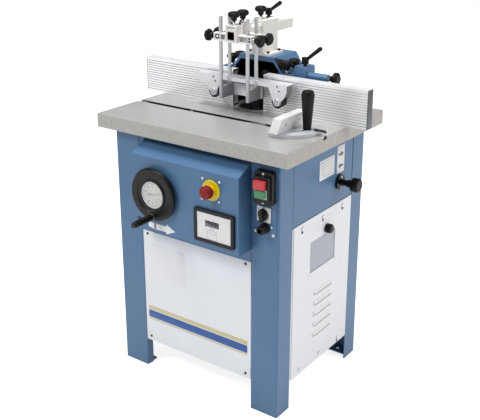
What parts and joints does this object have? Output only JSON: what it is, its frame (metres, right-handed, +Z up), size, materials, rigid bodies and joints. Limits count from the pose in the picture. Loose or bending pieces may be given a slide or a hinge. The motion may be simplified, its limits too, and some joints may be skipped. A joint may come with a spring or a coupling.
{
  "type": "spindle moulder",
  "caption": "Floor-standing woodworking spindle moulder with cast-iron table, rise-and-fall spindle, ribbed fences under a hood, pressure device and mitre gauge.",
  "frame": {"origin": "on the floor under the middle of the table, at the centre of the four floor-bolt holes", "axes": "+X right along the table's front edge and mitre slot, +Y to the back, +Z up out of the table"},
  "size_m": [0.834, 0.6814, 1.1762],
  "materials": {
    "blue_paint": "satin blue paint",
    "white_paint": "white powder coat",
    "light_casting": "light grey paint",
    "iron": "ground top, rough sides",
    "steel": "ground",
    "zinc_sheet": "bright plated sheet",
    "light_alloy": "clear anodised",
    "black_plastic": "black",
    "black_rubber": "black",
    "yellow_plastic": "yellow",
    "red_plastic": "red",
    "green_plastic": "green",
    "white_plastic": "white",
    "dark_paint": "dark paint"
  },
  "bodies": {
    "cabinet": {"corner_legs": "blue_paint", "frame_rails": "steel", "cabinet_panels": "white_paint", "front_panel": "white_paint", "console_housing": "blue_paint", "upper_side_plate": "blue_paint", "table": "iron", "table_ring": "iron", "estop_collar": "yellow_plastic", "display_unit": "black_plastic", "switch_plate": "blue_paint", "switch_housing": "black_plastic", "slide_bracket": "iron"},
    "handwheel": {"handwheel": "black_plastic", "height_dial": "white_plastic", "wheel_shaft": "steel"},
    "quill": {"quill_housing": "iron", "motor": "dark_paint", "drive_belt": "black_rubber"},
    "fence_unit": {"hood": "blue_paint", "dust_port": "blue_paint", "arm_column": "light_casting"},
    "right_carrier": {"right_carrier": "blue_paint"},
    "access_door": {"access_door": "white_paint"},
    "arm_tube": {"arm_tube": "light_casting"},
    "clamp_front": {"clamp_front": "light_casting"},
    "clamp_rear": {"clamp_rear": "light_casting"},
    "spindle": {"spindle": "steel"},
    "lift_screw": {"lift_screw": "steel"},
    "motor_pulley": {"motor_pulley": "steel"},
    "mitre_bar": {"mitre_bar": "steel"},
    "side_presser": {"side_presser": "steel"},
    "top_shoe": {"top_shoe": "zinc_sheet"},
    "left_fence": {"left_fence": "light_alloy"},
    "right_fence": {"right_fence": "light_alloy"},
    "mitre_head": {"mitre_head": "light_alloy"},
    "crank_grip": {"crank_grip": "black_plastic"},
    "selector_knob": {"selector_knob": "black_plastic"},
    "lock_plunger": {"lock_plunger": "black_plastic"},
    "door_knob": {"door_knob": "black_plastic"},
    "adjust_knob": {"adjust_knob": "black_plastic"},
    "carrier_lever": {"carrier_lever": "black_plastic"},
    "hood_knob_left_front": {"hood_knob_left_front": "black_plastic"},
    "hood_knob_left_rear": {"hood_knob_left_rear": "black_plastic"},
    "hood_knob_right_front": {"hood_knob_right_front": "black_plastic"},
    "hood_knob_right_rear": {"hood_knob_right_rear": "black_plastic"},
    "clamp_knob_front": {"clamp_knob_front": "black_plastic"},
    "clamp_knob_rear": {"clamp_knob_rear": "black_plastic"},
    "rod_knob_front_left": {"rod_knob_front_left": "black_plastic"},
    "rod_knob_front_right": {"rod_knob_front_right": "black_plastic"},
    "rod_knob_rear_left": {"rod_knob_rear_left": "black_plastic"},
    "rod_knob_rear_right": {"rod_knob_rear_right": "black_plastic"},
    "column_knob": {"column_knob": "black_plastic"},
    "column_lever": {"column_lever": "black_plastic"},
    "mitre_handle": {"mitre_handle": "black_plastic"},
    "shoe_roller_left": {"shoe_roller_left": "black_rubber"},
    "shoe_roller_right": {"shoe_roller_right": "black_rubber"},
    "estop_button": {"estop_button": "red_plastic"},
    "stop_button": {"stop_button": "red_plastic"},
    "start_button": {"start_button": "green_plastic"}
  },
  "joints": [
    {"name": "handwheel_turn", "type": "hinge", "parent": "cabinet", "child": "handwheel", "pos_m": [-0.095, -0.322, 0.658], "axis": [0, 1, 0], "range_deg": [-2160, 1440]},
    {"name": "crank_grip_spin", "type": "hinge", "parent": "handwheel", "child": "crank_grip", "pos_m": [-0.095, -0.38, 0.59], "axis": [0, 1, 0], "continuous": true},
    {"name": "quill_rise", "type": "slide", "parent": "cabinet", "child": "quill", "axis": [0, 0, 1], "range_m": [-0.06, 0.04]},
    {"name": "lift_screw_turn", "type": "hinge", "parent": "cabinet", "child": "lift_screw", "pos_m": [-0.095, 0.03, 0.6], "axis": [0, 0, 1], "range_deg": [-2160, 1440]},
    {"name": "spindle_spin", "type": "hinge", "parent": "quill", "child": "spindle", "pos_m": [0, 0.09, 0.7], "axis": [0, 0, 1], "continuous": true},
    {"name": "motor_spin", "type": "hinge", "parent": "quill", "child": "motor_pulley", "pos_m": [0.15, -0.04, 0.52], "axis": [0, 0, 1], "continuous": true},
    {"name": "estop_press", "type": "slide", "parent": "cabinet", "child": "estop_button", "axis": [0, 1, 0], "range_m": [0, 0.005], "stiffness_N_per_m": 800},
    {"name": "stop_press", "type": "slide", "parent": "cabinet", "child": "stop_button", "axis": [0, 1, 0], "range_m": [0, 0.004], "stiffness_N_per_m": 500},
    {"name": "start_press", "type": "slide", "parent": "cabinet", "child": "start_button", "axis": [0, 1, 0], "range_m": [0, 0.003], "stiffness_N_per_m": 500},
    {"name": "selector_turn", "type": "hinge", "parent": "cabinet", "child": "selector_knob", "pos_m": [0.256, -0.25, 0.657], "axis": [0, 1, 0], "range_deg": [-60, 60]},
    {"name": "lock_push", "type": "slide", "parent": "cabinet", "child": "lock_plunger", "axis": [-1, 0, 0], "range_m": [0, 0.015], "stiffness_N_per_m": 600},
    {"name": "door_lift", "type": "slide", "parent": "cabinet", "child": "access_door", "axis": [0, 0, 1], "range_m": [0, 0.008]},
    {"name": "door_latch_turn", "type": "hinge", "parent": "access_door", "child": "door_knob", "pos_m": [0.31, 0.02, 0.537], "axis": [1, 0, 0], "range_deg": [-90, 0]},
    {"name": "fence_shift", "type": "slide", "parent": "cabinet", "child": "fence_unit", "axis": [0, 1, 0], "range_m": [-0.015, 0.015]},
    {"name": "left_fence_shift", "type": "slide", "parent": "fence_unit", "child": "left_fence", "axis": [1, 0, 0], "range_m": [-0.06, 0.03]},
    {"name": "carrier_adjust", "type": "slide", "parent": "fence_unit", "child": "right_carrier", "axis": [0, 1, 0], "range_m": [-0.006, 0.01]},
    {"name": "right_fence_shift", "type": "slide", "parent": "right_carrier", "child": "right_fence", "axis": [1, 0, 0], "range_m": [-0.026, 0.06]},
    {"name": "adjust_turn", "type": "hinge", "parent": "right_carrier", "child": "adjust_knob", "pos_m": [0.23, 0.112, 0.976], "axis": [1, 0, 0], "range_deg": [-1440, 2400]},
    {"name": "carrier_lever_turn", "type": "hinge", "parent": "right_carrier", "child": "carrier_lever", "pos_m": [0.16, 0.112, 1.01], "axis": [0, 0, 1], "range_deg": [-30, 60]},
    {"name": "hood_knob_left_front_turn", "type": "hinge", "parent": "fence_unit", "child": "hood_knob_left_front", "pos_m": [-0.104, 0.097, 0.99], "axis": [0, 0, 1], "continuous": true},
    {"name": "hood_knob_left_rear_turn", "type": "hinge", "parent": "fence_unit", "child": "hood_knob_left_rear", "pos_m": [-0.104, 0.139, 0.99], "axis": [0, 0, 1], "continuous": true},
    {"name": "hood_knob_right_front_turn", "type": "hinge", "parent": "fence_unit", "child": "hood_knob_right_front", "pos_m": [0.104, 0.097, 0.99], "axis": [0, 0, 1], "continuous": true},
    {"name": "hood_knob_right_rear_turn", "type": "hinge", "parent": "fence_unit", "child": "hood_knob_right_rear", "pos_m": [0.104, 0.139, 0.99], "axis": [0, 0, 1], "continuous": true},
    {"name": "arm_shift", "type": "slide", "parent": "fence_unit", "child": "arm_tube", "axis": [0, 1, 0], "range_m": [-0.04, 0.004]},
    {"name": "clamp_front_shift", "type": "slide", "parent": "arm_tube", "child": "clamp_front", "axis": [0, 1, 0], "range_m": [-0.01, 0.004]},
    {"name": "clamp_knob_front_turn", "type": "hinge", "parent": "clamp_front", "child": "clamp_knob_front", "pos_m": [0, -0.036, 1.15], "axis": [0, 0, 1], "continuous": true},
    {"name": "rod_knob_front_left_turn", "type": "hinge", "parent": "clamp_front", "child": "rod_knob_front_left", "pos_m": [-0.09, -0.036, 1.094], "axis": [1, 0, 0], "continuous": true},
    {"name": "rod_knob_front_right_turn", "type": "hinge", "parent": "clamp_front", "child": "rod_knob_front_right", "pos_m": [0.09, -0.036, 1.094], "axis": [1, 0, 0], "continuous": true},
    {"name": "clamp_rear_shift", "type": "slide", "parent": "arm_tube", "child": "clamp_rear", "axis": [0, 1, 0], "range_m": [-0.004, 0.004]},
    {"name": "clamp_knob_rear_turn", "type": "hinge", "parent": "clamp_rear", "child": "clamp_knob_rear", "pos_m": [0, 0.009, 1.15], "axis": [0, 0, 1], "continuous": true},
    {"name": "rod_knob_rear_left_turn", "type": "hinge", "parent": "clamp_rear", "child": "rod_knob_rear_left", "pos_m": [-0.09, 0.009, 1.094], "axis": [1, 0, 0], "continuous": true},
    {"name": "rod_knob_rear_right_turn", "type": "hinge", "parent": "clamp_rear", "child": "rod_knob_rear_right", "pos_m": [0.09, 0.009, 1.094], "axis": [1, 0, 0], "continuous": true},
    {"name": "column_knob_turn", "type": "hinge", "parent": "fence_unit", "child": "column_knob", "pos_m": [0, 0.104, 1.15], "axis": [0, 0, 1], "continuous": true},
    {"name": "column_lever_turn", "type": "hinge", "parent": "fence_unit", "child": "column_lever", "pos_m": [0, 0.148, 1.15], "axis": [0, 0, 1], "range_deg": [-60, 60]},
    {"name": "presser_shift", "type": "slide", "parent": "clamp_front", "child": "side_presser", "axis": [0, 0, 1], "range_m": [-0.03, 0.01]},
    {"name": "shoe_shift", "type": "slide", "parent": "clamp_rear", "child": "top_shoe", "axis": [0, 0, 1], "range_m": [-0.01, 0.06]},
    {"name": "shoe_roller_left_spin", "type": "hinge", "parent": "top_shoe", "child": "shoe_roller_left", "pos_m": [-0.1, 0.009, 0.912], "axis": [0, 1, 0], "continuous": true},
    {"name": "shoe_roller_right_spin", "type": "hinge", "parent": "top_shoe", "child": "shoe_roller_right", "pos_m": [0.138, 0.009, 0.912], "axis": [0, 1, 0], "continuous": true},
    {"name": "gauge_slide", "type": "slide", "parent": "cabinet", "child": "mitre_bar", "axis": [1, 0, 0], "range_m": [-0.5, 0.06]},
    {"name": "gauge_swivel", "type": "hinge", "parent": "mitre_bar", "child": "mitre_head", "pos_m": [0.238, -0.082, 0.866], "axis": [0, 0, 1], "range_deg": [-10, 25]},
    {"name": "gauge_handle_turn", "type": "hinge", "parent": "mitre_bar", "child": "mitre_handle", "pos_m": [0.29, -0.082, 0.9], "axis": [0, 0, 1], "continuous": true}
  ],
  "couplings": [
    {"joint": "handwheel_turn", "follows": "quill_rise", "rad_per_m": 628.32},
    {"joint": "lift_screw_turn", "follows": "quill_rise", "rad_per_m": 628.32},
    {"joint": "motor_spin", "follows": "spindle_spin", "ratio": 0.71111},
    {"joint": "adjust_turn", "follows": "carrier_adjust", "rad_per_m": 4188.8}
  ]
}
